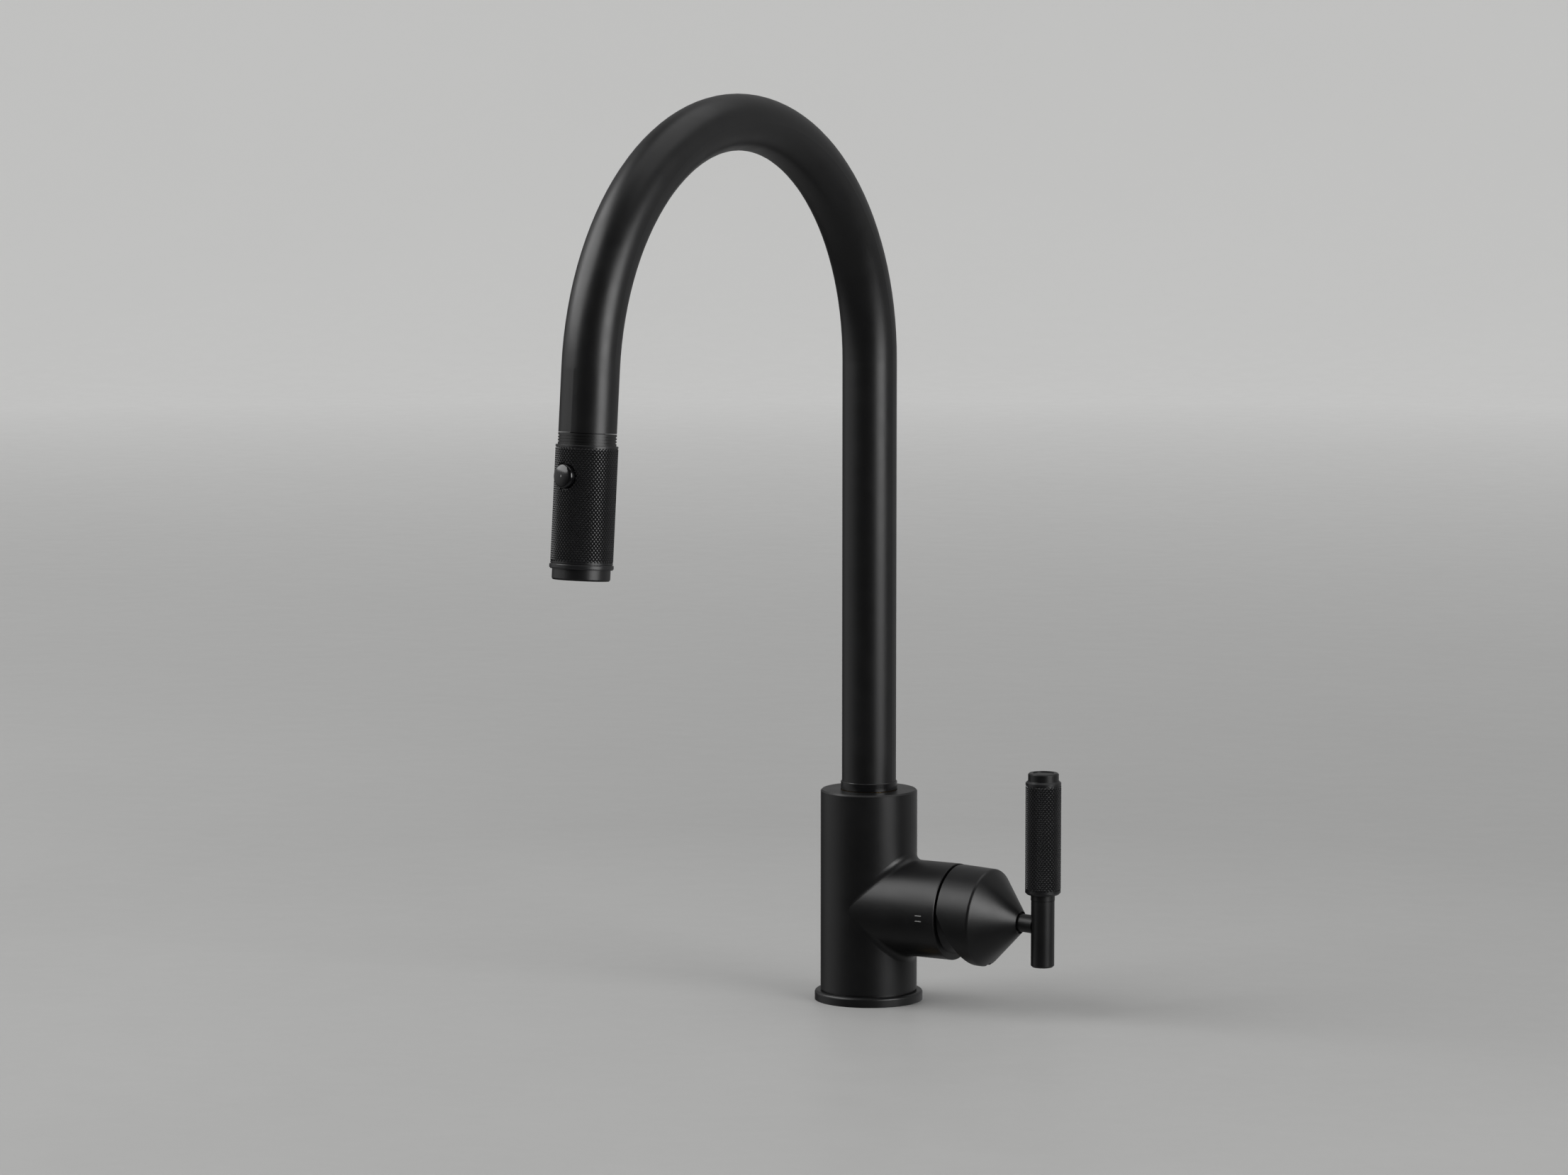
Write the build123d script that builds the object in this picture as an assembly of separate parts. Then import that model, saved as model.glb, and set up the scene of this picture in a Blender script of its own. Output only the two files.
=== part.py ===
"""Single-lever kitchen mixer tap with a gooseneck spout and a pull-down spray head.

Frame: millimetres, +Z up, origin at the centre of the tap hole on top of the worktop.
The lever branch runs to +X, the spout reaches out to -Y and the wall is behind, at +Y.
"""
import os
from math import cos, radians, sin

from build123d import *

# ---- Driving dimensions: body ----
BASE_R = 28.0
BASE_H = 5.0
BODY_R = 25.0
BODY_TOP = 110.0
BASE_FILLET = 1.4
BASE_RECESS_R = 22.4
BASE_RECESS_H = 1.8
SHADOW_GAP = 0.7
RIM_CHAMFER = 0.8

BRANCH_R = 24.9
BRANCH_Z = 50.0
BRANCH_END = 51.9
BRANCH_CHAMFER = 0.3
BLEND_R = 4.5

# ---- Driving dimensions: fixing through the worktop ----
SHANK_R = 16.5
SHANK_BORE_R = 14.5
SHANK_BOTTOM = -60.0
SHANK_TOP = 20.0
SHANK_PLAY = 0.4
WORKTOP = 30.0
WASHER_R = 30.0
GASKET_H = 3.0
WASHER_H = 2.0
NUT_H = 9.0
NUT_ACROSS_FLATS = 43.0

# ---- Driving dimensions: water inlets, M8 x 1 ----
PORT_CIRCLE_R = 10.46
PORT_R = 3.46
PORT_THREAD = 10.0
WATERWAY_R = 3.0
SUPPLY_Y = 8.9
MIXED_DROP = 7.0

# ---- Driving dimensions: spout ----
TUBE_R = 14.0
TUBE_BORE_R = 12.5
TUBE_FOOT = 114.5
BEND_R = 125.0
BEND_Z = 332.0
BEND_ANGLE = 175.0
SPOUT_TIP = 30.8
SPOUT_SWING = -2.5
SWIVEL_HALF_RANGE = 70.0
SWIVEL_BORE_R = 14.7
SWIVEL_FLOOR = 66.0
STEM_R = 14.3
STEM_NECK_R = 12.4
STEM_BORE_R = 9.5
STEM_LAP = 15.0
STEM_GROOVE_R = 12.0
GLIDE_HIGH = 98.0
GLIDE_LOW = 72.0
GLIDE_H = 6.0
SEAL_Z = 93.0
STOP_Z = 85.0
STOP_R = 2.5
STOP_TIP_R = 2.0

# ---- Driving dimensions: pull-out hose ----
HOSE_R = 5.5
HOSE_BORE_R = 3.5
HOSE_PASSAGE_R = 6.2
FERRULE_R = 6.8

# ---- Driving dimensions: spray head, lengths measured down from the spout's end ----
HEAD_R = 14.0
COLLAR_H = 5.6
COLLAR_GROOVES = (1.4, 2.8, 4.2)
SLEEVE_R = 15.0
SLEEVE_BORE_R = 13.0
SLEEVE_END = 64.7
BEAD_R = 15.4
NOSE_R = 8.4
NOSE_FLANGE_R = 12.6
NOSE_TOP = -20.0
NOSE_BOTTOM = 9.5
DOCK_BORE_R = 8.6
CORE_END = 59.2
CORE_BORE_R = 4.0
CORE_CHAMBER_R = 7.0
FACE_START = 60.5
FACE_END = 70.0
NOZZLE_RINGS = ((9.0, 16), (11.0, 20))

# ---- Driving dimensions: button, heights measured out from the head's axis ----
BUTTON_AT = 20.6
BUTTON_TURN = 9.0
BUTTON_R = 5.9
BUTTON_TOP = 17.2
BUTTON_CROWN_R = 18.0
BUTTON_ROUND = 1.6
BUTTON_HOLE_R = 6.5
BUTTON_BACK = 11.7
BUTTON_STEM_R = 2.0
BEZEL_BACK = 12.0

# ---- Driving dimensions: cartridge, lengths measured along the branch ----
PIVOT_X = 40.0
CARTRIDGE_R = 17.5
CARTRIDGE_SEAT = 24.0
BASE_FACE = 27.5
DISC_FACE = 30.0
CARRIER_FACE = 32.2
CARRIER_END = 36.0
SHOULDER = 43.0
NUT_END = 50.0
ROTOR_END = 51.2
HOUSING_END = 54.0
NUT_R = 19.5
NUT_BORE_R = 14.4
ROTOR_R = 12.5
DISC_R = 9.0
PORT_SPREAD = 0.72
SEAL_SEAT_R = 5.0
PIN_R = 1.2
PIN_HALF = 11.0

# ---- Driving dimensions: lever ----
LEVER_TILT = 2.7
HUB_R = 25.2
HUB_HOLLOW_R = 24.9
HUB_FACE = 13.55
HUB_RELIEF_ANGLE = 24.0
HUB_CREASE = 31.4
HUB_CREASE_FILLET = 2.0
HUB_END = 49.4
HUB_END_R = 6.0
HUB_SOCKET_R = 5.7
DOME_R = 24.6
DOME_SHELL = 0.7
DOME_END = 59.4
STEM_SQUARE = 8.0
STEM_PLAY = 0.1
SCREW_AT = 30.5
SCREW_R = 2.5
SCREW_HEX = 2.5
NECK_R = 4.65
NECK_START = 43.6
NECK_END = 57.5
ROD_X = 102.0
ROD_R = 6.0
ROD_BOTTOM = 25.9
ROD_TOP = 121.0
GRIP_CORE_R = 5.2
GRIP_R = 9.1
GRIP_BOTTOM = 63.4
GRIP_TOP = 121.8
LOCK_RING_H = 3.0
CAP_R = 7.85
CAP_TOP = 125.8
CAP_SPIGOT_R = 3.0


# ---- Shape helpers ----
def turned(*corners):
    """Solid of revolution about Z from (radius, height) corners in order."""
    return revolve(make_face(Plane.XZ * Polyline(*corners, close=True)), Axis.Z)


def ring(outer, inner, low, high):
    return turned((inner, low), (outer, low), (outer, high), (inner, high))


def bar(radius, low, high):
    return Pos(0, 0, (low + high) / 2) * Cylinder(radius, high - low)


def seal(mid_radius, section_radius, height):
    return Pos(0, 0, height) * Torus(mid_radius, section_radius)


def around(piece, count, radius):
    """Copies of a piece evenly spaced on a circle about Z."""
    return [Rot(0, 0, 360 * step / count) * Pos(radius, 0, 0) * piece for step in range(count)]


def outer_rims(blank):
    """The two outermost circular edges of a plain ring."""
    return blank.edges().filter_by(GeomType.CIRCLE).sort_by(SortBy.RADIUS)[-2:]


def hexagon(across_flats, low, high):
    corner_r = across_flats / 2 / cos(radians(30))
    return Pos(0, 0, low) * extrude(RegularPolygon(corner_r, 6), high - low)


def bent_along_spout(outer, inner, low):
    """Tube up the column from low and over the gooseneck, in the spout's own frame."""
    section = Pos(0, 0, BEND_Z) * (Circle(outer) - Circle(inner))
    crown = revolve(section, Axis((0, -BEND_R, BEND_Z), (1, 0, 0)), BEND_ANGLE)
    return ring(outer, inner, low, BEND_Z) + crown


def head_plane():
    """Centre of the spout's open end: Z points out of it, X faces away from the body."""
    turn = radians(BEND_ANGLE)
    along = (0, -sin(turn), cos(turn))
    outward = (0, cos(turn), sin(turn))
    reach = BEND_R * (1 - cos(turn)) + SPOUT_TIP * sin(turn)
    height = BEND_Z + BEND_R * sin(turn) + SPOUT_TIP * cos(turn)
    return Plane(origin=(0, -reach, height), x_dir=outward, z_dir=along)


# ---- Frames that the pieces are placed in ----
SPOUT = Rot(0, 0, SPOUT_SWING)
HEAD = SPOUT * head_plane().location
BRANCH = Pos(0, 0, BRANCH_Z) * Rot(0, 90, 0)
PIVOT = Pos(PIVOT_X, 0, BRANCH_Z)
LEVER = PIVOT * Rot(0, LEVER_TILT, 0) * Rot(0, 90, 0)
SCREW = Pos(0, 0, SCREW_AT) * Rot(0, 90, 0)
ROD = Pos(ROD_X, 0, 0)
STOP = Pos(0, 0, STOP_Z) * Rot(-90, 0, 0)
BUTTON = HEAD * Rot(0, 0, BUTTON_TURN) * Pos(0, 0, BUTTON_AT) * Rot(0, 90, 0)


# ---- Base and fixing ----
def base_ring():
    blank = ring(BASE_R, SHANK_R + SHANK_PLAY, 0, BASE_H)
    top_edge = blank.edges().group_by(Axis.Z)[-1].sort_by(SortBy.RADIUS)[-1]
    return fillet(top_edge, BASE_FILLET) - ring(BASE_RECESS_R, SHANK_R, -1, BASE_RECESS_H)


def base_gasket():
    return ring(BASE_RECESS_R - 0.1, SHANK_R + SHANK_PLAY, 0, BASE_RECESS_H - 0.1)


def threaded_shank():
    return ring(SHANK_R, SHANK_BORE_R, SHANK_BOTTOM, SHANK_TOP)


def clamp_gasket():
    return ring(WASHER_R, SHANK_R + SHANK_PLAY, -WORKTOP - GASKET_H, -WORKTOP)


def clamp_washer():
    high = -WORKTOP - GASKET_H
    return ring(WASHER_R, SHANK_R + SHANK_PLAY, high - WASHER_H, high)


def clamp_nut():
    high = -WORKTOP - GASKET_H - WASHER_H
    return hexagon(NUT_ACROSS_FLATS, high - NUT_H, high) - bar(SHANK_R, high - NUT_H - 1, high + 1)


# ---- Body ----
def supply_ports():
    """Places of the hot, cold and mixed-water ports around the hose passage."""
    side = PORT_CIRCLE_R ** 2 - SUPPLY_Y ** 2
    return [(side ** 0.5, SUPPLY_Y), (side ** 0.5, -SUPPLY_Y), (PORT_CIRCLE_R, 0)]


def body_casting():
    column = bar(BODY_R, BASE_H, BODY_TOP)
    tee = column + BRANCH * bar(BRANCH_R, 0, BRANCH_END)
    curved = [edge for edge in tee.edges() if edge.geom_type == GeomType.BSPLINE]
    tee = fillet(curved, BLEND_R)
    tee = chamfer(tee.edges().group_by(Axis.Z)[-1], RIM_CHAMFER)
    tee = chamfer(tee.edges().group_by(Axis.X)[-1], BRANCH_CHAMFER)
    tee -= ring(BODY_R + 1, BODY_R - SHADOW_GAP, BASE_H - 1, BASE_H + SHADOW_GAP)

    tee -= bar(SHANK_R, BASE_H - 1, SHANK_TOP)
    tee -= bar(HOSE_PASSAGE_R, 0, BODY_TOP)
    tee -= bar(SWIVEL_BORE_R, SWIVEL_FLOOR, BODY_TOP + 1)
    tee -= BRANCH * bar(CARTRIDGE_R + 0.3, CARTRIDGE_SEAT, BRANCH_END + 1)
    tee -= BRANCH * bar(NUT_R, SHOULDER, BRANCH_END + 1)
    tee -= STOP * bar(STOP_R, SWIVEL_BORE_R - 1, BODY_R + 1)

    for x, y in supply_ports():
        drop = 0 if y else MIXED_DROP
        tee -= Pos(x, y, 0) * bar(PORT_R, SHANK_TOP - 1, SHANK_TOP + PORT_THREAD)
        tee -= Pos(x, y, 0) * bar(WATERWAY_R, SHANK_TOP, BRANCH_Z - drop)
        tee -= Pos(0, y, -drop) * BRANCH * bar(WATERWAY_R, x, CARTRIDGE_SEAT + 1)
        tee -= Pos(x, y, BRANCH_Z - drop) * Sphere(WATERWAY_R)
    return tee


def hose_guide():
    return ring(STEM_BORE_R - 0.5, HOSE_R + 0.5, SWIVEL_FLOOR, SWIVEL_FLOOR + 1.6)


def spout_stop_screw():
    head_end = BODY_R - 1.5
    screw = bar(STOP_R, SWIVEL_BORE_R, head_end)
    screw += bar(STOP_TIP_R, STEM_GROOVE_R + 0.2, SWIVEL_BORE_R)
    return STOP * (screw - hexagon(SCREW_HEX, head_end - 2.5, head_end + 1))


# ---- Cartridge ----
def cartridge_base():
    plate = bar(CARTRIDGE_R, CARTRIDGE_SEAT, BASE_FACE)
    seat_top = CARTRIDGE_SEAT + 1.6
    for across in (SUPPLY_Y, -SUPPLY_Y):
        plate -= Pos(0, across, 0) * bar(WATERWAY_R, CARTRIDGE_SEAT - 1, seat_top + 0.6)
        plate -= Pos(0, across, 0) * bar(SEAL_SEAT_R, CARTRIDGE_SEAT - 1, seat_top)
        plate -= Pos(0, across * PORT_SPREAD, 0) * bar(2.4, CARTRIDGE_SEAT, BASE_FACE + 1)
    plate -= Pos(MIXED_DROP, 0, 0) * bar(WATERWAY_R, CARTRIDGE_SEAT - 1, BASE_FACE + 1)
    plate -= Pos(MIXED_DROP + 1.5, 0, 0) * bar(SEAL_SEAT_R, CARTRIDGE_SEAT - 1, seat_top)
    return BRANCH * plate


def cartridge_seals():
    spots = ((0, SUPPLY_Y), (0, -SUPPLY_Y), (MIXED_DROP + 1.5, 0))
    washer = ring(SEAL_SEAT_R - 0.1, WATERWAY_R + 0.4, CARTRIDGE_SEAT, CARTRIDGE_SEAT + 1.5)
    return [BRANCH * Pos(x, y, 0) * washer for x, y in spots]


def fixed_disc():
    disc = bar(ROTOR_R - 0.2, BASE_FACE, DISC_FACE)
    for across in (SUPPLY_Y, -SUPPLY_Y):
        disc -= Pos(0, across * PORT_SPREAD, 0) * bar(2.2, BASE_FACE - 1, DISC_FACE + 1)
    disc -= Pos(MIXED_DROP, 0, 0) * bar(2.6, BASE_FACE - 1, DISC_FACE + 1)
    return BRANCH * disc


def moving_disc():
    """Ceramic disc with the blind chamber that joins the supplies to the mixed-water port."""
    chamber = Pos(2.5, 0, 0) * bar(4.6, DISC_FACE - 1, CARRIER_FACE - 1)
    return BRANCH * (bar(DISC_R, DISC_FACE, CARRIER_FACE) - chamber)


def disc_carrier():
    carrier = bar(DISC_R + 0.5, CARRIER_FACE, CARRIER_END)
    pocket = Pos(0, 0, CARRIER_END - 1.3) * Box(4.8, 4.8, 3.0)
    return BRANCH * (carrier - pocket)


def cartridge_housing():
    bore = ROTOR_R + 0.1
    collar = NUT_BORE_R - 0.2
    lip_bore = bore - 1.2
    lip = ROTOR_END + 0.3
    shell = turned((bore, BASE_FACE), (CARTRIDGE_R, BASE_FACE), (CARTRIDGE_R, SHOULDER),
                   (collar, SHOULDER), (collar, HOUSING_END), (lip_bore, HOUSING_END),
                   (lip_bore, lip), (bore, lip))
    return BRANCH * shell


def cartridge_rotor():
    """Turns with the lever; its slot lets the stem tilt about the pin one way only."""
    rotor = bar(ROTOR_R, CARRIER_END + 0.3, ROTOR_END)
    rotor -= Pos(2.25, 0, SHOULDER + 1) * Box(14.1, STEM_SQUARE + 0.3, 20)
    rotor -= Pos(0, 0, PIVOT_X) * Rot(90, 0, 0) * bar(PIN_R, -PIN_HALF, PIN_HALF)
    return BRANCH * rotor


def pivot_pin():
    return BRANCH * Pos(0, 0, PIVOT_X) * Rot(90, 0, 0) * bar(PIN_R, -PIN_HALF, PIN_HALF)


def cartridge_stem():
    """Square lever stem on the pin, with a ball end that pushes the disc carrier."""
    low, high, ball = -1.9, 39.5, 4.6
    stem = Pos(0, 0, (low + high) / 2) * Box(STEM_SQUARE, STEM_SQUARE, high - low)
    stem += bar(1.9, -ball, low + 0.1)
    stem += Pos(0, 0, -ball) * Sphere(2.0)
    return LEVER * (stem - Rot(90, 0, 0) * bar(PIN_R + 0.05, -STEM_SQUARE, STEM_SQUARE))


def cartridge_nut():
    nut = ring(NUT_R - 0.1, NUT_BORE_R, SHOULDER + 0.05, NUT_END)
    slots = around(Pos(0, 0, NUT_END - 1) * Box(4, 3, 3), 6, CARTRIDGE_R)
    return BRANCH * (nut - slots)


def trim_dome():
    """Cover over the cartridge that the hub's hollow slides round as the lever tilts."""
    foot, spigot_r, flange_r, flange_h = 17.6, NUT_R - 0.2, 21.4, 0.8
    seat = turned((foot, NUT_END + 0.1), (spigot_r, NUT_END + 0.1), (spigot_r, BRANCH_END),
                  (flange_r, BRANCH_END), (flange_r - 0.5, BRANCH_END + flange_h),
                  (foot, BRANCH_END + flange_h))
    shell = Pos(0, 0, PIVOT_X) * (Sphere(DOME_R) - Sphere(DOME_R - DOME_SHELL))
    return BRANCH * (seat + (shell & bar(DOME_R, BRANCH_END, DOME_END)))


# ---- Lever ----
def lever_hub():
    """Cup over the cartridge, cut back so that it clears the branch shut and tilted open."""
    start = HUB_FACE - 4
    hub = turned((0, start), (HUB_R, start), (HUB_R, HUB_CREASE), (HUB_END_R, HUB_END),
                 (0, HUB_END))
    crease = hub.edges().filter_by_position(Axis.Z, HUB_CREASE - 0.1, HUB_CREASE + 0.1)
    hub = fillet(crease, HUB_CREASE_FILLET)
    hub -= Sphere(HUB_HOLLOW_R)
    hub -= Pos(0, 0, SCREW_AT - 0.5) * Box(STEM_SQUARE + STEM_PLAY, STEM_SQUARE + STEM_PLAY, 20)
    hub -= bar(NECK_R, NECK_START - 0.1, HUB_END + 1)
    hub -= bar(HUB_SOCKET_R, HUB_END - 1.8, HUB_END + 1)
    hub = LEVER * (hub - SCREW * bar(SCREW_R, 3, HUB_R + 1))
    for angle in (0, -HUB_RELIEF_ANGLE):
        hub -= PIVOT * Rot(0, angle, 0) * Pos(HUB_FACE - 50, 0, 0) * Box(100, 100, 100)
    return hub


def hub_set_screw():
    length = 9.0
    end = STEM_SQUARE / 2 + STEM_PLAY / 2 + length
    screw = bar(SCREW_R, end - length, end) - hexagon(SCREW_HEX, end - 3, end + 1)
    return LEVER * SCREW * screw


def hub_end_ring():
    return LEVER * ring(HUB_SOCKET_R - 0.05, NECK_R + 0.05, HUB_END - 1.75, HUB_END - 1.0)


def neck_bar():
    return LEVER * bar(NECK_R, NECK_START, NECK_END)


def lever_rod():
    shaft = bar(ROD_R, ROD_BOTTOM, GRIP_BOTTOM - LOCK_RING_H - 0.2)
    shaft = chamfer(shaft.edges().group_by(Axis.Z)[0], 0.8)
    shaft += bar(GRIP_CORE_R, GRIP_BOTTOM - LOCK_RING_H - 1, ROD_TOP)
    shaft -= bar(CAP_SPIGOT_R, ROD_TOP - 8, ROD_TOP + 1)
    return ROD * shaft - LEVER * bar(NECK_R, NECK_START, NECK_END)


def grip_lock_ring():
    return ROD * ring(ROD_R + 0.15, GRIP_CORE_R, GRIP_BOTTOM - LOCK_RING_H, GRIP_BOTTOM)


def knurled_grip():
    blank = ring(GRIP_R, GRIP_CORE_R, GRIP_BOTTOM, GRIP_TOP)
    return ROD * chamfer(outer_rims(blank), 1.0)


def grip_cap():
    cap = chamfer(bar(CAP_R, GRIP_TOP, CAP_TOP).edges().group_by(Axis.Z)[-1], 0.6)
    cap += bar(CAP_SPIGOT_R, ROD_TOP - 7, GRIP_TOP)
    return ROD * (cap - bar(CAP_R - 2.45, CAP_TOP - 0.4, CAP_TOP + 1))


# ---- Spout ----
def spout_tube():
    tip = HEAD * ring(TUBE_R, TUBE_BORE_R, -SPOUT_TIP, -0.3)
    return SPOUT * bent_along_spout(TUBE_R, TUBE_BORE_R, TUBE_FOOT) + tip


def spout_stem():
    top = TUBE_FOOT + STEM_LAP
    low = SWIVEL_FLOOR + 2
    stem = turned((STEM_BORE_R, low), (STEM_R, low), (STEM_R, BODY_TOP), (STEM_NECK_R, BODY_TOP),
                  (STEM_NECK_R, top), (STEM_BORE_R, top))
    for middle, half in ((GLIDE_LOW + GLIDE_H / 2, GLIDE_H / 2 + 0.1), (SEAL_Z, 1.4),
                         (GLIDE_HIGH + GLIDE_H / 2, GLIDE_H / 2 + 0.1)):
        stem -= ring(STEM_R + 1, STEM_GROOVE_R, middle - half, middle + half)
    half_slot = SWIVEL_HALF_RANGE + 10.5
    profile = Plane.XZ * Pos(STEM_GROOVE_R + 1.9, STOP_Z) * Rectangle(4.0, 5.0)
    slot = revolve(Rot(0, 0, 90 - half_slot) * profile, Axis.Z, 2 * half_slot)
    return SPOUT * (stem - slot)


def glide_ring(low):
    return SPOUT * ring(SWIVEL_BORE_R - 0.05, STEM_GROOVE_R, low, low + GLIDE_H)


def swivel_o_ring():
    section_r = 1.3
    return SPOUT * seal(STEM_GROOVE_R + section_r + 0.03, section_r, SEAL_Z)


def spout_foot_ring():
    foot = ring(TUBE_R + 0.6, STEM_NECK_R + 0.05, BODY_TOP + 0.05, TUBE_FOOT)
    return SPOUT * chamfer(outer_rims(foot), 0.3)


def dock_insert():
    lead_in = 0.8
    outer = TUBE_BORE_R - 0.05
    return HEAD * turned((DOCK_BORE_R, NOSE_TOP), (DOCK_BORE_R + 2.4, NOSE_TOP - 4),
                         (outer, NOSE_TOP - 4), (outer, -0.4), (DOCK_BORE_R + lead_in, -0.4),
                         (DOCK_BORE_R, -1.4))


def hose_in_spout():
    return SPOUT * bent_along_spout(HOSE_R, HOSE_BORE_R, SHANK_BOTTOM)


def hose_tail():
    return HEAD * ring(HOSE_R, HOSE_BORE_R, -SPOUT_TIP, -8)


# ---- Spray head ----
def hose_ferrule():
    return HEAD * ring(FERRULE_R, HOSE_R, NOSE_TOP - 8, -6)


def docking_nose():
    nose = bar(NOSE_R, NOSE_TOP, COLLAR_H + 0.1)
    nose += bar(NOSE_FLANGE_R, COLLAR_H + 0.1, NOSE_BOTTOM)
    nose -= bar(FERRULE_R, NOSE_TOP - 1, -5.5)
    nose -= bar(CORE_BORE_R, -6, NOSE_BOTTOM + 1)
    return HEAD * (nose - ring(NOSE_R + 1, NOSE_R - 1.2, -12.8, -11.2))


def dock_o_ring():
    return HEAD * seal(NOSE_R - 0.5, 0.65, -12)


def check_valve():
    return HEAD * ring(CORE_BORE_R - 0.05, 2.0, -4, 6)


def head_collar():
    collar = ring(HEAD_R, NOSE_R + 0.05, 0, COLLAR_H)
    half_width, groove_r = 0.25, HEAD_R - 0.45
    for middle in COLLAR_GROOVES:
        collar -= ring(HEAD_R + 1, groove_r, middle - half_width, middle + half_width)
    return HEAD * collar


def spray_sleeve():
    sleeve = ring(SLEEVE_R, SLEEVE_BORE_R, COLLAR_H, SLEEVE_END)
    sleeve += ring(BEAD_R, SLEEVE_R - 0.5, SLEEVE_END - 2.3, SLEEVE_END - 0.2)
    return HEAD * sleeve - BUTTON * bar(BUTTON_HOLE_R, 8, 17)


def waterway_core():
    """Body of the head: water bore, diverter chamber and the button's stepped pocket."""
    core = bar(NOSE_FLANGE_R, NOSE_BOTTOM + 0.1, CORE_END)
    core -= bar(CORE_BORE_R, NOSE_BOTTOM, CORE_END - 17)
    core -= bar(CORE_CHAMBER_R, CORE_END - 18, CORE_END + 1)
    core = HEAD * core
    core -= BUTTON * bar(BUTTON_HOLE_R + 0.2, BEZEL_BACK, 16)
    core -= BUTTON * bar(BUTTON_R + 0.2, 9.4, BEZEL_BACK + 1)
    return core - BUTTON * bar(2 * BUTTON_STEM_R, 5.9, 10)


def button_crown(across):
    """Height of the button's crown at a distance from its middle."""
    return BUTTON_TOP - BUTTON_CROWN_R + (BUTTON_CROWN_R ** 2 - across ** 2) ** 0.5


def spray_button():
    """Domed cap with a rounded rim, and the stem that works the diverter."""
    top, rim = (0, BUTTON_TOP), (BUTTON_R, button_crown(BUTTON_R))
    outline = Polyline(top, (0, BUTTON_BACK), (BUTTON_R, BUTTON_BACK), rim)
    outline += ThreePointArc(rim, (BUTTON_R / 2, button_crown(BUTTON_R / 2)), top)
    profile = make_face(outline)
    profile = fillet(profile.vertices().sort_by_distance((*rim, 0))[0], BUTTON_ROUND)
    cap = revolve(Plane.XZ * profile, Axis.Z)
    return BUTTON * (cap + bar(BUTTON_STEM_R, 7.5, BUTTON_BACK + 0.3))


def button_bezel():
    return BUTTON * ring(BUTTON_HOLE_R - 0.05, BUTTON_R + 0.15, BEZEL_BACK + 0.05, 13.4)


def button_spring():
    coil = Pos(0, 0, 6.3) * Helix(1.25, 5.0, 3.1)
    section = Plane(origin=coil @ 0, z_dir=coil % 0) * Circle(0.3)
    return BUTTON * sweep(section, path=coil, is_frenet=True)


def diverter_plunger():
    stem = bar(3.0, CORE_END - 16.5, CORE_END - 4)
    return HEAD * (stem + bar(CORE_CHAMBER_R - 1, CORE_END - 10, CORE_END - 8))


def face_seal():
    return HEAD * ring(12.5, 10.5, CORE_END + 0.05, FACE_START - 0.1)


def spray_face():
    high = FACE_END - 1.6
    plate = ring(12.2, CORE_CHAMBER_R, FACE_START, high)
    nozzle = Pos(0, 0, high + 0.3) * Cone(0.75, 0.5, 0.8)
    for radius, count in NOZZLE_RINGS:
        plate += around(nozzle, count, radius)
    return HEAD * plate


def aerator():
    high = FACE_END - 1.0
    shell = ring(CORE_CHAMBER_R - 0.1, 5.4, FACE_START, high)
    return HEAD * (shell + bar(5.5, high - 5.8, high - 1.4))


def face_ring():
    inner, outer = 12.3, SLEEVE_BORE_R - 0.05
    shell = turned((inner, FACE_START), (outer, FACE_START), (outer, SLEEVE_END),
                   (HEAD_R, SLEEVE_END), (HEAD_R, FACE_END - 0.8), (HEAD_R - 0.5, FACE_END),
                   (SLEEVE_BORE_R, FACE_END), (inner, FACE_END - 1.0))
    return HEAD * shell


PARTS = {
    "base_ring": base_ring,
    "base_gasket": base_gasket,
    "threaded_shank": threaded_shank,
    "clamp_gasket": clamp_gasket,
    "clamp_washer": clamp_washer,
    "clamp_nut": clamp_nut,
    "body_casting": body_casting,
    "hose_guide": hose_guide,
    "spout_stop_screw": spout_stop_screw,
    "cartridge_base": cartridge_base,
    "cartridge_seals": cartridge_seals,
    "fixed_disc": fixed_disc,
    "moving_disc": moving_disc,
    "disc_carrier": disc_carrier,
    "cartridge_housing": cartridge_housing,
    "cartridge_rotor": cartridge_rotor,
    "pivot_pin": pivot_pin,
    "cartridge_stem": cartridge_stem,
    "cartridge_nut": cartridge_nut,
    "trim_dome": trim_dome,
    "lever_hub": lever_hub,
    "hub_set_screw": hub_set_screw,
    "hub_end_ring": hub_end_ring,
    "neck_bar": neck_bar,
    "lever_rod": lever_rod,
    "grip_lock_ring": grip_lock_ring,
    "knurled_grip": knurled_grip,
    "grip_cap": grip_cap,
    "spout_tube": spout_tube,
    "spout_stem": spout_stem,
    "upper_glide_ring": lambda: glide_ring(GLIDE_HIGH),
    "lower_glide_ring": lambda: glide_ring(GLIDE_LOW),
    "swivel_o_ring": swivel_o_ring,
    "spout_foot_ring": spout_foot_ring,
    "dock_insert": dock_insert,
    "hose_in_spout": hose_in_spout,
    "hose_tail": hose_tail,
    "hose_ferrule": hose_ferrule,
    "docking_nose": docking_nose,
    "dock_o_ring": dock_o_ring,
    "check_valve": check_valve,
    "head_collar": head_collar,
    "spray_sleeve": spray_sleeve,
    "waterway_core": waterway_core,
    "spray_button": spray_button,
    "button_bezel": button_bezel,
    "button_spring": button_spring,
    "diverter_plunger": diverter_plunger,
    "face_seal": face_seal,
    "spray_face": spray_face,
    "aerator": aerator,
    "face_ring": face_ring,
}


os.makedirs("parts", exist_ok=True)
for name, make in PARTS.items():
    made = make()
    solid = Compound(children=list(made)) if isinstance(made, list) else made
    export_step(solid, f"parts/{name}.step")
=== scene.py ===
"""Looks of a matt black single-lever kitchen mixer tap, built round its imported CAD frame.

Metres, +Z up, origin at the centre of the tap hole on top of the worktop. The lever branch runs
to +X and the spout reaches out to -Y.
"""
from math import ceil, cos, pi, radians, sin, tau

import bmesh
import bpy
from mathutils import Matrix, Vector


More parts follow.
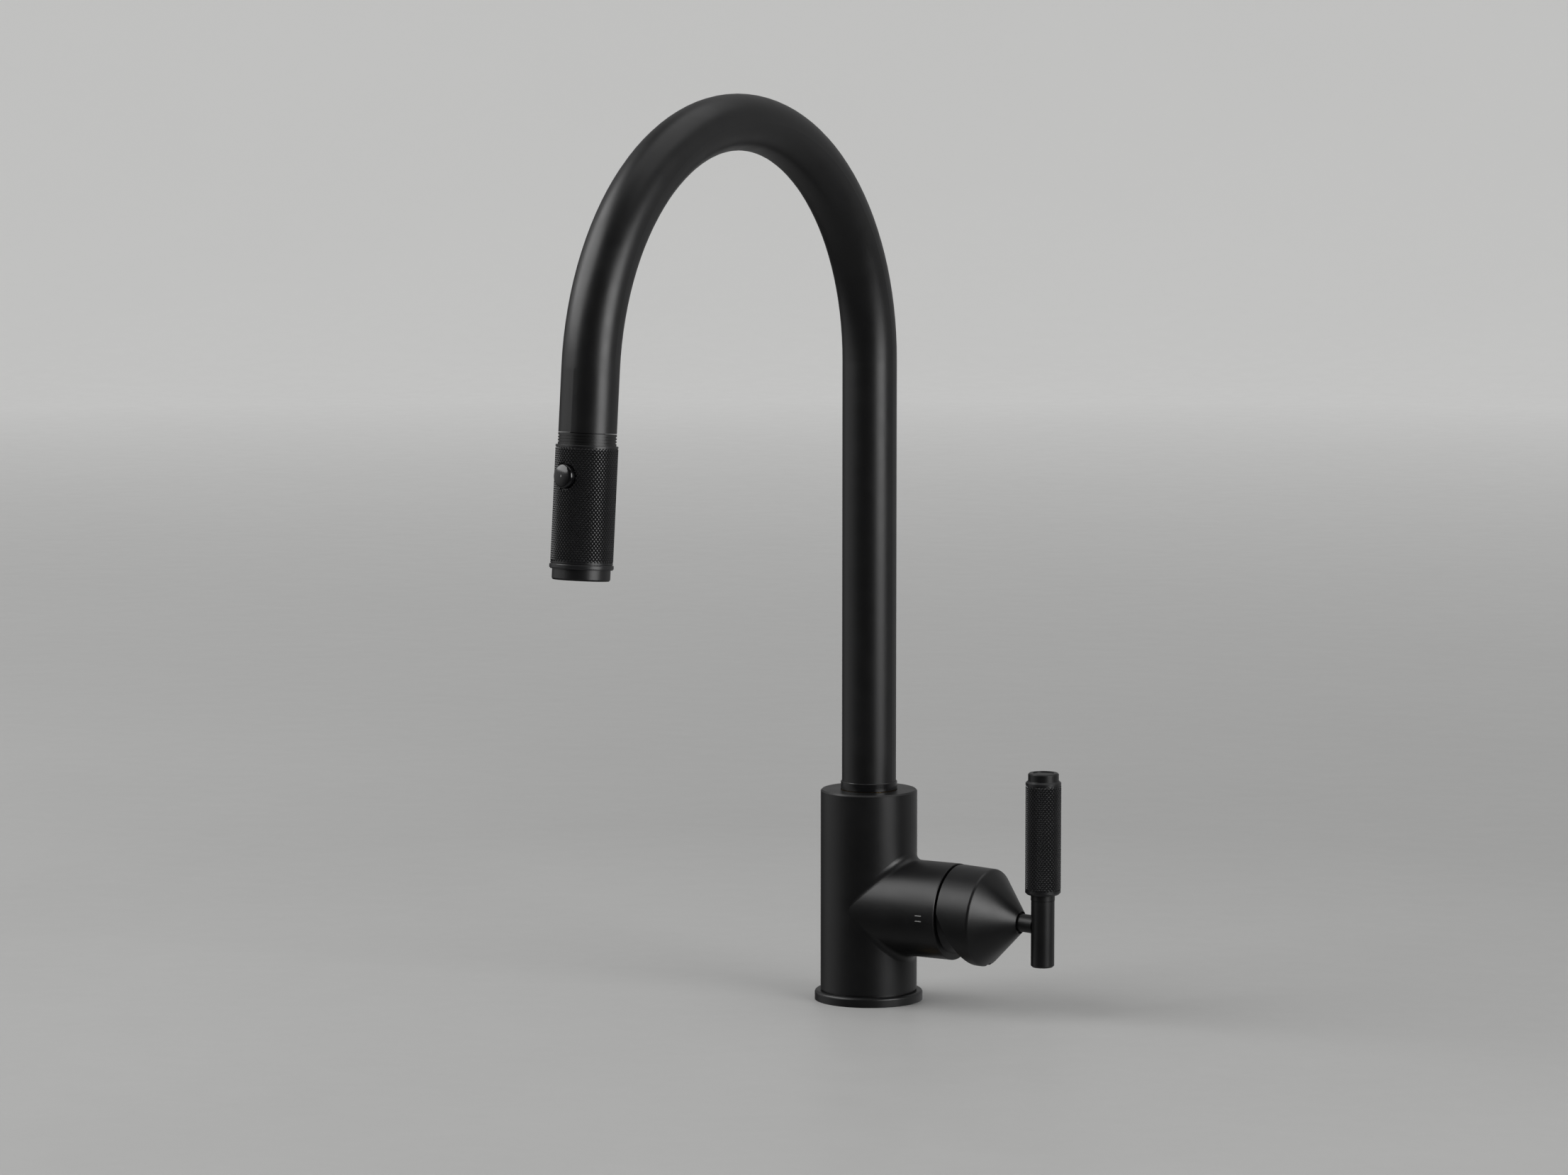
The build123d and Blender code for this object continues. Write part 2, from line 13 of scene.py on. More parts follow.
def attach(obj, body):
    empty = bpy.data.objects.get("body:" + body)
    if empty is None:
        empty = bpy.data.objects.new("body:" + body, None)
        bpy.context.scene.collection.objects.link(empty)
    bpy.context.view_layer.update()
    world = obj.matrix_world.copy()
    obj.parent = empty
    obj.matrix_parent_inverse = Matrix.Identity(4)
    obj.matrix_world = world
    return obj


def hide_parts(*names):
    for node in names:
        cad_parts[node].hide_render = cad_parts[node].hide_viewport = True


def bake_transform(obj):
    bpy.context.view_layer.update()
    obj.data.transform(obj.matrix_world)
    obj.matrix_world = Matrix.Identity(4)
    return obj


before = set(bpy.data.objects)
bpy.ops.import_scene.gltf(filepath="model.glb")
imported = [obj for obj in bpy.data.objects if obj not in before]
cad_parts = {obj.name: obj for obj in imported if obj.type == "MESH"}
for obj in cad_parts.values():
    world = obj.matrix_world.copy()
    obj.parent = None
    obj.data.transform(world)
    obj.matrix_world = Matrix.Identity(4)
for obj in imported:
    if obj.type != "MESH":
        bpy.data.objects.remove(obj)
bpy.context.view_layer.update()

MM = 0.001

# ---- Where things are on the tap, in millimetres, as the CAD has them ----
BEND_R = 125.0
BEND_Z = 332.0
BEND_ANGLE = 175.0
SPOUT_TIP = 30.8
SPOUT_SWING = -2.5
BRANCH_R = 24.9
BRANCH_Z = 50.0

SLEEVE_R = 15.0
SLEEVE_BORE_R = 13.0
SLEEVE_LOW = 5.6
SLEEVE_HIGH = 64.7
BEAD_R = 15.4
BUTTON_AT = 20.6
BUTTON_TURN = 9.0
BUTTON_HOLE_R = 6.5
# Plain bands at the sleeve's two ends, its chamfer and the groove beside its bead
SLEEVE_BAND_LOW = 1.0
SLEEVE_BAND_HIGH = 3.3
SLEEVE_EDGE = 0.25
SLEEVE_GROOVE = 0.3
AERATOR_MESH_LOW = 67.6
AERATOR_MESH_HIGH = 68.5
AERATOR_R = 4.75

ROD_X = 102.0
GRIP_R = 9.1
GRIP_CORE_R = 5.2
GRIP_LOW = 63.4
GRIP_HIGH = 121.8
GRIP_CHAMFER = 1.0
GRIP_BAND = 2.2

SHANK_R = 16.5
SHANK_BORE_R = 14.5
SHANK_LOW = -60.0
SHANK_HIGH = 20.0
THREAD_TOP = -2.0
THREAD_PITCH = 1.5
THREAD_DEPTH = 0.85
THREAD_RUN_OUT = 0.6

HOSE_R = 5.5
HOSE_BORE_R = 3.5
HOSE_TAIL_LOW = -SPOUT_TIP
HOSE_TAIL_HIGH = -8.0
# Heights above the tail's lower end between which it would stretch; the mesh packs its rings
# closely there
HOSE_FIXED = 0.5
HOSE_STRETCH_END = 3.5
# Strands round the hose, and how many radians they turn in each metre
BRAID_STRANDS = 16
BRAID_WINDING = 2900

SPRING_R = 3.1
SPRING_WIRE_R = 0.3
SPRING_LOW = 6.3
SPRING_PITCH = 1.25
SPRING_TURNS = 4

# The branch's marks: their ends along X, and their heights and half thickness in degrees round it
MARK_ENDS = (41.2, 41.5, 44.4, 44.7)
MARK_TURNS = (1.5, -5.0)
MARK_HALF = 0.6
MARK_PROUD = 0.02

# ---- Knurling: diamonds round and along, and how they are cut ----
KNURL_DEPTH = 0.38
KNURL_FLAT = 0.46
SLEEVE_DIAMONDS = 54
GRIP_DIAMONDS = 33
DIAMOND_LENGTH = 2.1

# ---- Camera, worktop and room, in metres and degrees ----
CAMERA_AT = (1.4175, -2.4911, 0.53475)
CAMERA_AZIMUTH = 30.52
CAMERA_PITCH = -6.37
CAMERA_LENS = 128.43
WORKTOP_THICK = 0.030
TAP_HOLE_R = 0.0175
FLOOR_INNER_R = 1.0
BACKDROP_R = 4.0
SWEEP_R = 1.6
WALL_HIGH = 4.5
# Painted light on the backdrop: its emission strength far away, and the distance from the tap
# where that emission starts
WALL_PAINTED_GLOW = 0.36
WALL_PAINTED_GLOW_FROM = 0.6
ROOM_LIGHT = 0.02
GLOWS = (
    # towards, half angle where it fades out, half angle of its even core, strength
    ((0.15, 0.95, 0.25), 75, 35, 0.26),
    ((-0.90, -0.30, 0.40), 54, 20, 0.46),
    ((0.0, 0.1, -1.0), 70, 30, 0.16),
)


# ---- Frames ----
def spout_place():
    return Matrix.Rotation(radians(SPOUT_SWING), 4, "Z")


def head_place():
    """Centre of the spout's open end in mm: Z points out of it, X faces away from the body."""
    turn = radians(BEND_ANGLE)
    along = Vector((0, -sin(turn), cos(turn)))
    outward = Vector((0, cos(turn), sin(turn)))
    reach = BEND_R * (1 - cos(turn)) + SPOUT_TIP * sin(turn)
    height = BEND_Z + BEND_R * sin(turn) + SPOUT_TIP * cos(turn)
    across = along.cross(outward)
    place = Matrix((outward, across, along)).transposed().to_4x4()
    place.translation = (0, -reach, height)
    return spout_place() @ place


HEAD = head_place()
BUTTON = (HEAD @ Matrix.Rotation(radians(BUTTON_TURN), 4, "Z")
          @ Matrix.Translation((0, 0, BUTTON_AT)) @ Matrix.Rotation(pi / 2, 4, "Y"))
ROD = Matrix.Translation((ROD_X, 0, 0))
UPRIGHT = Matrix.Identity(4)


# ---- Material building ----
class Shade:
    """A node material under construction, in the row frame's own coordinates."""

    def __init__(self, name):
        self.material = bpy.data.materials.new(name)
        self.material.use_nodes = True
        self.tree = self.material.node_tree
        self.surface = self.tree.nodes["Principled BSDF"]
        self.place = self.add("ShaderNodeTexCoord").outputs["Object"]

    def add(self, kind, **settings):
        node = self.tree.nodes.new(kind)
        for key, value in settings.items():
            setattr(node, key, value)
        return node

    def join(self, source, target):
        self.tree.links.new(source, target)

    def set(self, **sockets):
        for key, value in sockets.items():
            self.surface.inputs[key.replace("_", " ")].default_value = value

    def stretched(self, scale):
        """The coordinates scaled unevenly, for grain that runs one way."""
        mapping = self.add("ShaderNodeMapping")
        mapping.inputs["Scale"].default_value = scale
        self.join(self.place, mapping.inputs["Vector"])
        return mapping.outputs["Vector"]

    def noise(self, scale, detail=3.0, roughness=0.55, vector=None):
        node = self.add("ShaderNodeTexNoise")
        node.inputs["Scale"].default_value = scale
        node.inputs["Detail"].default_value = detail
        node.inputs["Roughness"].default_value = roughness
        self.join(vector or self.place, node.inputs["Vector"])
        return node.outputs["Fac"]

    def spread(self, value, low, high, source_low=0.3, source_high=0.7):
        """The value spread from low to high."""
        node = self.add("ShaderNodeMapRange")
        for key, number in (("From Min", source_low), ("From Max", source_high),
                            ("To Min", low), ("To Max", high)):
            node.inputs[key].default_value = number
        self.join(value, node.inputs["Value"])
        return node.outputs["Result"]

    def colours(self, value, first, second, low=0.3, high=0.7):
        node = self.add("ShaderNodeValToRGB")
        ramp = node.color_ramp.elements
        ramp[0].position, ramp[0].color = low, (*first, 1)
        ramp[1].position, ramp[1].color = high, (*second, 1)
        self.join(value, node.inputs["Fac"])
        self.join(node.outputs["Color"], self.surface.inputs["Base Color"])

    def roughness(self, value, low, high):
        self.join(self.spread(value, low, high), self.surface.inputs["Roughness"])

    def bump(self, height, strength, distance, before=None):
        node = self.add("ShaderNodeBump")
        node.inputs["Strength"].default_value = strength
        node.inputs["Distance"].default_value = distance
        self.join(height, node.inputs["Height"])
        if before:
            self.join(before, node.inputs["Normal"])
        self.join(node.outputs["Normal"], self.surface.inputs["Normal"])
        return node.outputs["Normal"]


def painted(name, dark, light, rough_low, rough_high, grain_scale=2600, grain=0.10, coat=0.0):
    """Powder-coated metal: a fine even grain, faint mottling in colour and in gloss."""
    shade = Shade(name)
    shade.colours(shade.noise(34, 4), dark, light)
    shade.roughness(shade.noise(95, 5), rough_low, rough_high)
    waves = shade.bump(shade.noise(210, 2), 0.05, 0.0002)
    shade.bump(shade.noise(grain_scale, 2), grain, 0.00006, before=waves)
    shade.set(IOR=1.5, Coat_Weight=coat, Coat_Roughness=0.12)
    return shade.material


def machined(name, dark, light, rough_low, rough_high, stretch):
    """Bare metal with the fine lines that turning or brushing leaves."""
    shade = Shade(name)
    lines = shade.noise(1.0, 5, 0.6, vector=shade.stretched(stretch))
    shade.colours(lines, dark, light)
    shade.roughness(shade.noise(120, 4), rough_low, rough_high)
    shade.bump(lines, 0.18, 0.00008)
    shade.set(Metallic=1.0)
    return shade.material


def moulded(name, dark, light, rough_low, rough_high, grain_scale=1500, grain=0.15, soft=0.0):
    """Moulded plastic or rubber with a fine spark-eroded grain."""
    shade = Shade(name)
    shade.colours(shade.noise(60, 4), dark, light)
    shade.roughness(shade.noise(180, 3), rough_low, rough_high)
    shade.bump(shade.noise(grain_scale, 3), grain, 0.00008)
    shade.set(Subsurface_Weight=soft, IOR=1.48)
    return shade.material


def braided():
    """Woven nylon jacket: two crossing sets of strands wound round the hose's axis."""
    shade = Shade("hose_braid")
    mapping = shade.add("ShaderNodeMapping", vector_type="TEXTURE")
    mapping.inputs["Location"].default_value = HEAD.translation * MM
    mapping.inputs["Rotation"].default_value = tuple(HEAD.to_euler())
    shade.join(shade.place, mapping.inputs["Vector"])
    split = shade.add("ShaderNodeSeparateXYZ")
    shade.join(mapping.outputs["Vector"], split.inputs["Vector"])

    def maths(operation, first, second=None):
        node = shade.add("ShaderNodeMath", operation=operation)
        for socket, value in zip(node.inputs, (first, second)):
            if isinstance(value, (int, float)):
                socket.default_value = value
            elif value is not None:
                shade.join(value, socket)
        return node.outputs["Value"]

    turn = maths("ARCTAN2", split.outputs["Y"], split.outputs["X"])
    angle = maths("MULTIPLY", turn, BRAID_STRANDS)
    along = maths("MULTIPLY", split.outputs["Z"], BRAID_WINDING)
    right_hand = maths("SINE", maths("ADD", angle, along))
    left_hand = maths("SINE", maths("SUBTRACT", angle, along))
    weave = maths("MAXIMUM", right_hand, left_hand)
    shade.colours(weave, (0.012, 0.012, 0.013), (0.075, 0.075, 0.08), 0.0, 1.0)
    shade.roughness(shade.noise(400, 3), 0.45, 0.62)
    shade.bump(weave, 0.7, 0.0003)
    shade.set(Sheen_Weight=0.15)
    return shade.material


def engraved_light():
    """Dull grey infill of the two small marks on the branch."""
    shade = Shade("mark_infill")
    shade.colours(shade.noise(500, 4), (0.15, 0.15, 0.15), (0.24, 0.24, 0.24))
    shade.roughness(shade.noise(700, 2), 0.40, 0.55)
    shade.bump(shade.noise(2500, 2), 0.1, 0.00004)
    return shade.material


FINISHES = {
    "satin_black": painted("satin_black", (0.0034, 0.0034, 0.0036), (0.0054, 0.0054, 0.0058),
                           0.34, 0.40),
    "knurled_black": painted("knurled_black", (0.0060, 0.0060, 0.0066), (0.0088, 0.0088, 0.0096),
                             0.31, 0.37),
    "gloss_black": painted("gloss_black", (0.0030, 0.0030, 0.0034), (0.0042, 0.0042, 0.0048),
                           0.15, 0.19, grain=0.01, coat=0.3),
    "foot_black": painted("foot_black", (0.0035, 0.0035, 0.0038), (0.0050, 0.0050, 0.0054),
                          0.20, 0.26, grain=0.04),
    "black_plastic": moulded("black_plastic", (0.010, 0.010, 0.011), (0.016, 0.016, 0.017),
                             0.42, 0.52),
    "brass": machined("brass", (0.52, 0.36, 0.14), (0.66, 0.48, 0.21), 0.24, 0.34,
                      (160, 160, 5200)),
    "steel": machined("steel", (0.42, 0.42, 0.43), (0.58, 0.58, 0.59), 0.26, 0.36,
                      (160, 160, 4200)),
    "rubber": moulded("rubber", (0.016, 0.016, 0.016), (0.028, 0.028, 0.028), 0.62, 0.78, 900,
                      0.2),
    "ceramic": moulded("ceramic", (0.70, 0.69, 0.66), (0.80, 0.79, 0.77), 0.14, 0.22, 2400,
                       0.03, soft=0.05),
    "nylon": moulded("nylon", (0.50, 0.49, 0.45), (0.62, 0.61, 0.57), 0.38, 0.50, 1300, 0.08,
                     soft=0.1),
    "hose_braid": braided(),
    "mark_infill": engraved_light(),
}


def pale_floor():
    """Plain pale worktop. Far from the tap it carries painted light: an emission rising with
    distance stands in for the light on a lit studio wall.
    """
    shade = Shade("pale_worktop")
    shade.colours(shade.noise(3.0, 4), (0.455, 0.455, 0.45), (0.47, 0.47, 0.465))
    shade.roughness(shade.noise(40, 4), 0.42, 0.50)
    shade.bump(shade.noise(800, 3), 0.06, 0.0001)
    # painted light: emission that grows with distance from the tap, standing in for light on the
    # far wall
    distance = shade.add("ShaderNodeVectorMath", operation="LENGTH")
    shade.join(shade.place, distance.inputs[0])
    glow = shade.spread(distance.outputs["Value"], 0.0, WALL_PAINTED_GLOW, WALL_PAINTED_GLOW_FROM, BACKDROP_R)
    shade.join(glow, shade.surface.inputs["Emission Strength"])
    shade.set(Emission_Color=(1, 1, 0.99, 1))
    return shade.material


# ---- Mesh building ----
def add_object(name, mesh, material, smooth_below=30):
    """Turns a bmesh into an object in the scene, smooth but for edges sharper than the angle."""
    bmesh.ops.recalc_face_normals(mesh, faces=mesh.faces)
    data = bpy.data.meshes.new(name)
    mesh.to_mesh(data)
    mesh.free()
    data.materials.append(material)
    data.shade_smooth()
    data.set_sharp_from_angle(angle=radians(smooth_below))
    thing = bpy.data.objects.new(name, data)
    bpy.context.scene.collection.objects.link(thing)
    return thing


def finish_piece(name, mesh, finish, body, smooth_below=30):
    """A piece of the tap from a bmesh, with welded corners. A body of None leaves it unattached
    here.
    """
    bmesh.ops.remove_doubles(mesh, verts=mesh.verts, dist=1e-7)
    bmesh.ops.dissolve_degenerate(mesh, edges=mesh.edges, dist=1e-7)
    piece = add_object(name, mesh, FINISHES[finish], smooth_below)
    if body:
        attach(piece, body)
    return piece


def at(place, radius, angle, height):
    """A point in metres from cylindrical millimetres in a placed frame."""
    return place @ Vector((radius * cos(angle), radius * sin(angle), height)) * MM


def circle_of(mesh, place, radius, height, count, shift=0.0):
    return [mesh.verts.new(at(place, radius, tau * (step + shift) / count, height))
            for step in range(count)]


def bridge(mesh, first, second):
    """Quads between two equal closed rings of vertices."""
    count = len(first)
    for step in range(count):
        after = (step + 1) % count
        mesh.faces.new((first[step], first[after], second[after], second[step]))


def bridge_chain(mesh, rings, closed=False):
    following = rings[1:] + (rings[:1] if closed else [])
    for first, second in zip(rings, following):
        bridge(mesh, first, second)


def knurl_rows(mesh, place, radius, low, high, count):
    """Diamond knurling with flat-topped points from low to high; returns its end rings."""
    halves = 2 * round((high - low) / DIAMOND_LENGTH)
    step_up = (high - low) / halves
    root = radius - KNURL_DEPTH
    rows = [circle_of(mesh, place, root, low + row * step_up, count, 0.5 * (row % 2))
            for row in range(halves + 1)]
    for row in range(1, halves):
        offset = row % 2
        for step in range(count):
            middle = step + 0.5 * offset + 0.5
            height = low + row * step_up
            beyond = (step + offset) % count
            corners = (rows[row][step], rows[row - 1][beyond],
                       rows[row][(step + 1) % count], rows[row + 1][beyond])
            flats = [mesh.verts.new(at(place, radius, tau * (middle + KNURL_FLAT * turn) / count,
                                       height + KNURL_FLAT * 2 * rise * step_up))
                     for turn, rise in ((-0.5, 0), (0, -0.5), (0.5, 0), (0, 0.5))]
            mesh.faces.new(flats)
            for side in range(4):
                after = (side + 1) % 4
                mesh.faces.new((corners[side], corners[after], flats[after], flats[side]))
    for row, inner in ((0, 1), (halves, halves - 1)):
        for step in range(count):
            mesh.faces.new((rows[row][step], rows[row][(step + 1) % count], rows[inner][step]))
    return rows[0], rows[-1]


def knurled_tube(place, count, lead_in, radius, low, high, lead_out, bore):
    """Closed sleeve: plain bands from (radius, height) corners, knurling between, and a bore."""
    mesh = bmesh.new()
    first, last = knurl_rows(mesh, place, radius, low, high, count)
    before = [circle_of(mesh, place, r, h, count) for r, h in lead_in]
    after = [circle_of(mesh, place, r, h, count) for r, h in lead_out]
    bores = [circle_of(mesh, place, bore, h, count) for h in (lead_out[-1][1], lead_in[0][1])]
    bridge_chain(mesh, before + [first])
    bridge_chain(mesh, [last] + after + bores + [before[0]])
    return mesh


def spray_sleeve_knurled():
    """The spray head's knurled sleeve, drilled for its button."""
    low = SLEEVE_LOW + SLEEVE_BAND_LOW
    high = SLEEVE_HIGH - SLEEVE_BAND_HIGH
    groove_r = SLEEVE_R - SLEEVE_GROOVE
    bead_edge_r = BEAD_R - SLEEVE_EDGE
    lead_in = ((SLEEVE_R - SLEEVE_EDGE, SLEEVE_LOW), (SLEEVE_R, SLEEVE_LOW + SLEEVE_EDGE),
               (SLEEVE_R, low))
    lead_out = ((SLEEVE_R, high), (SLEEVE_R, high + 0.5), (groove_r, high + 0.7),
                (groove_r, high + 0.95), (bead_edge_r, high + 1.0), (BEAD_R, high + 1.3),
                (BEAD_R, high + 2.7), (bead_edge_r, high + 3.0), (SLEEVE_R, high + 3.1),
                (SLEEVE_R, SLEEVE_HIGH))
    mesh = knurled_tube(HEAD, SLEEVE_DIAMONDS, lead_in, SLEEVE_R, low, high, lead_out,
                        SLEEVE_BORE_R)
    sleeve = finish_piece("spray_sleeve_knurled", mesh, "knurled_black", None,
                          12)
    drill_mesh = bmesh.new()
    drill_from, drill_to = 8, 18
    ends = [circle_of(drill_mesh, BUTTON, BUTTON_HOLE_R, height, 96)
            for height in (drill_from, drill_to)]
    bridge(drill_mesh, *ends)
    for end in ends:
        drill_mesh.faces.new(end)
    drill = finish_piece("drill", drill_mesh, "knurled_black", None)
    cut = sleeve.modifiers.new("button_hole", "BOOLEAN")
    cut.operation = "DIFFERENCE"
    cut.solver = "EXACT"
    cut.object = drill
    bpy.context.view_layer.update()
    drilled = bpy.data.meshes.new_from_object(
        sleeve.evaluated_get(bpy.context.evaluated_depsgraph_get()))
    sleeve.modifiers.clear()
    sleeve.data = drilled
    bpy.data.objects.remove(drill)
    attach(sleeve, "spray_head")
    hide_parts("spray_sleeve")


def lever_grip_knurled():
    """The lever's knurled grip, chamfered at both ends."""
    low = GRIP_LOW + GRIP_BAND
    high = GRIP_HIGH - GRIP_BAND
    inset = GRIP_R - GRIP_CHAMFER
    lead_in = ((inset, GRIP_LOW), (GRIP_R, GRIP_LOW + GRIP_CHAMFER), (GRIP_R, low))
    lead_out = ((GRIP_R, high), (GRIP_R, GRIP_HIGH - GRIP_CHAMFER), (inset, GRIP_HIGH))
    mesh = knurled_tube(ROD, GRIP_DIAMONDS, lead_in, GRIP_R, low, high, lead_out, GRIP_CORE_R)
    grip = finish_piece("lever_grip_knurled", mesh, "knurled_black", "lever", 12)
    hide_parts("knurled_grip")


def shank_threaded():
    """The fixing shank with its screw thread, plain at the top where it enters the body."""
    count, slices = 72, 4
    root = SHANK_R - THREAD_DEPTH
    profile = (0.0, 0.5 * THREAD_DEPTH, THREAD_DEPTH, 0.5 * THREAD_DEPTH)
    mesh = bmesh.new()
    total = slices * (ceil((THREAD_TOP - SHANK_LOW) / THREAD_PITCH) + 2)
    grid = []
    for row in range(total):
        line = []
        for step in range(count):
            height = SHANK_LOW + (row + slices * (step / count - 1)) * THREAD_PITCH / slices
            inside = SHANK_LOW + THREAD_RUN_OUT < height < THREAD_TOP - THREAD_RUN_OUT
            radius = SHANK_R - (profile[row % slices] if inside else THREAD_DEPTH)
            height = min(max(height, SHANK_LOW), THREAD_TOP)
            line.append(mesh.verts.new(at(UPRIGHT, radius, tau * step / count, height)))
        grid.append(line)
    for row in range(total - 1):
        for step in range(count):
            if step < count - 1:
                corners = (grid[row][step], grid[row][step + 1],
                           grid[row + 1][step + 1], grid[row + 1][step])
            elif row >= slices:
                corners = (grid[row][step], grid[row - slices][0],
                           grid[row + 1 - slices][0], grid[row + 1][step])
            else:
                continue
            mesh.faces.new(corners)
    collar = [circle_of(mesh, UPRIGHT, radius, height, count)
              for radius, height in ((root, THREAD_TOP), (SHANK_R, THREAD_TOP + THREAD_RUN_OUT),
                                     (SHANK_R, SHANK_HIGH), (SHANK_BORE_R, SHANK_HIGH),
                                     (SHANK_BORE_R, SHANK_LOW), (root, SHANK_LOW))]
    bridge_chain(mesh, collar)
    shank = finish_piece("threaded_shank_cut", mesh, "brass", "tap_body", 50)
    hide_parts("threaded_shank")


def hose_tail_braided():
    """The last stretch of hose, with rings packed where it draws out between the spout and the
    spray head; it is not stretched here.
    """
    count, slices = 40, 120
    fixed_until = HOSE_TAIL_LOW + HOSE_FIXED
    moves_from = HOSE_TAIL_LOW + HOSE_STRETCH_END
    heights = [HOSE_TAIL_LOW + 0.05, fixed_until]
    heights += [fixed_until + (moves_from - fixed_until) * step / slices
                for step in range(1, slices + 1)]
    heights += [-24.0, -16.0, HOSE_TAIL_HIGH]
    mesh = bmesh.new()
    outside = [circle_of(mesh, HEAD, HOSE_R - 0.02, height, count) for height in heights]
    inside = [circle_of(mesh, HEAD, HOSE_BORE_R, height, count) for height in reversed(heights)]
    bridge_chain(mesh, outside + inside, closed=True)
    tail = finish_piece("hose_tail_braided", mesh, "hose_braid", None, 60)
    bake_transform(tail)
    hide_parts("hose_tail")


def button_spring_coiled():
    """The spray button's spring, built as a coil at rest; its closing up as the button goes in is
    not made here.
    """
    around, steps = 12, 36
    sides = [tau * side / around for side in range(around)]
    mesh = bmesh.new()
    rings = []
    for step in range(SPRING_TURNS * steps + 1):
        centre = SPRING_LOW + SPRING_PITCH * step / steps
        rings.append([mesh.verts.new(at(BUTTON, SPRING_R + SPRING_WIRE_R * cos(side),
                                        tau * step / steps, centre + SPRING_WIRE_R * sin(side)))
                      for side in sides])
    bridge_chain(mesh, rings)
    mesh.faces.new(rings[0])
    mesh.faces.new(rings[-1])
    spring = finish_piece("button_spring_coiled", mesh, "steel", None, 50)
    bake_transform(spring)
    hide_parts("button_spring")


def branch_marks():
    """Two short dashes, one above the other, set in the branch just before the lever's hub."""
    mesh = bmesh.new()
    radius = BRANCH_R + MARK_PROUD
    for turn in MARK_TURNS:
        columns = []
        for across in (-1, -0.5, 0, 0.5, 1):
            angle = radians(turn + across * MARK_HALF)
            side, height = -radius * cos(angle), BRANCH_Z + radius * sin(angle)
            columns.append([mesh.verts.new(Vector((x, side, height)) * MM) for x in MARK_ENDS])
        for first, second in zip(columns, columns[1:]):
            for step in range(3):
                mesh.faces.new((first[step], first[step + 1], second[step + 1], second[step]))
    marks = finish_piece("branch_marks", mesh, "mark_infill", None)
    solid = marks.modifiers.new("set_in", "SOLIDIFY")
    solid.thickness = 0.0002
    solid.offset = -1
    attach(marks, "tap_body")


def aerator_screen():
    """Honeycomb mesh across the mouth of the aerator."""
    cell, wall = 1.15, 0.16
    row_step = 0.866 * cell
    outer = cell / 2 / cos(pi / 6)
    section = ((outer, AERATOR_MESH_LOW), (outer, AERATOR_MESH_HIGH),
               (outer - wall, AERATOR_MESH_HIGH), (outer - wall, AERATOR_MESH_LOW))
    corners = [pi / 6 + pi / 3 * side for side in range(6)]
    span = int(AERATOR_R / cell) + 2
    mesh = bmesh.new()
    for row in range(-span, span + 1):
        for column in range(-span, span + 1):
            x = cell * (column + 0.5 * (row % 2))
            y = row_step * row
            if (x * x + y * y) ** 0.5 > AERATOR_R:
                continue
            rings = []
            for radius, height in section:
                places = [Vector((x + radius * cos(turn), y + radius * sin(turn), height))
                          for turn in corners]
                rings.append([mesh.verts.new(HEAD @ place * MM) for place in places])
            bridge_chain(mesh, rings, closed=True)
    finish_piece("aerator_screen", mesh, "black_plastic", "spray_head")


# ---- The tap ----
FINISH_OF_NODE = {"spout_foot_ring": "foot_black", "button_bezel": "gloss_black"}

for name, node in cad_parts.items():
    slot = node.data.materials[0].name
    node.data.materials.clear()
    node.data.materials.append(FINISHES[FINISH_OF_NODE.get(name, slot)])

spray_sleeve_knurled()
lever_grip_knurled()
shank_threaded()
hose_tail_braided()
button_spring_coiled()
branch_marks()
aerator_screen()


# ---- Worktop, light and camera ----
def backdrop():
    """A pale worktop as thick as the clamp needs, sweeping up far away into a round wall.

    Reflections leave it out, so the black paint shows only the room's glows and the lamps.
    """
    count, arc_steps = 96, 24
    arc = [pi / 2 * step / arc_steps for step in range(arc_steps + 1)]
    sweep = [(BACKDROP_R + SWEEP_R * sin(turn), SWEEP_R * (1 - cos(turn))) for turn in arc]
    wall_r = BACKDROP_R + SWEEP_R
    above = [(TAP_HOLE_R, 0), (FLOOR_INNER_R, 0)] + sweep + [(wall_r, WALL_HIGH)]
    outside = wall_r + WORKTOP_THICK
    below = [(radius, -WORKTOP_THICK) for radius in (outside, FLOOR_INNER_R, TAP_HOLE_R)]
    outline = above + [(outside, WALL_HIGH)] + below
    mesh = bmesh.new()
    rings = [circle_of(mesh, UPRIGHT, radius / MM, height / MM, count)
             for radius, height in outline]
    bridge_chain(mesh, rings, closed=True)
    whole = add_object("backdrop", mesh, pale_floor())
    whole.visible_glossy = False


def softbox(name, at_point, look_at, size, power, spread=180):
    lamp = bpy.data.lights.new(name, "AREA")
    lamp.shape = "RECTANGLE"
    lamp.size, lamp.size_y = size
    lamp.energy = power
    lamp.spread = radians(spread)
    holder = bpy.data.objects.new(name, lamp)
    holder.location = at_point
    toward = Vector(look_at) - Vector(at_point)
    holder.rotation_euler = toward.to_track_quat("-Z", "Y").to_euler()
    holder.visible_camera = False
    bpy.context.scene.collection.objects.link(holder)


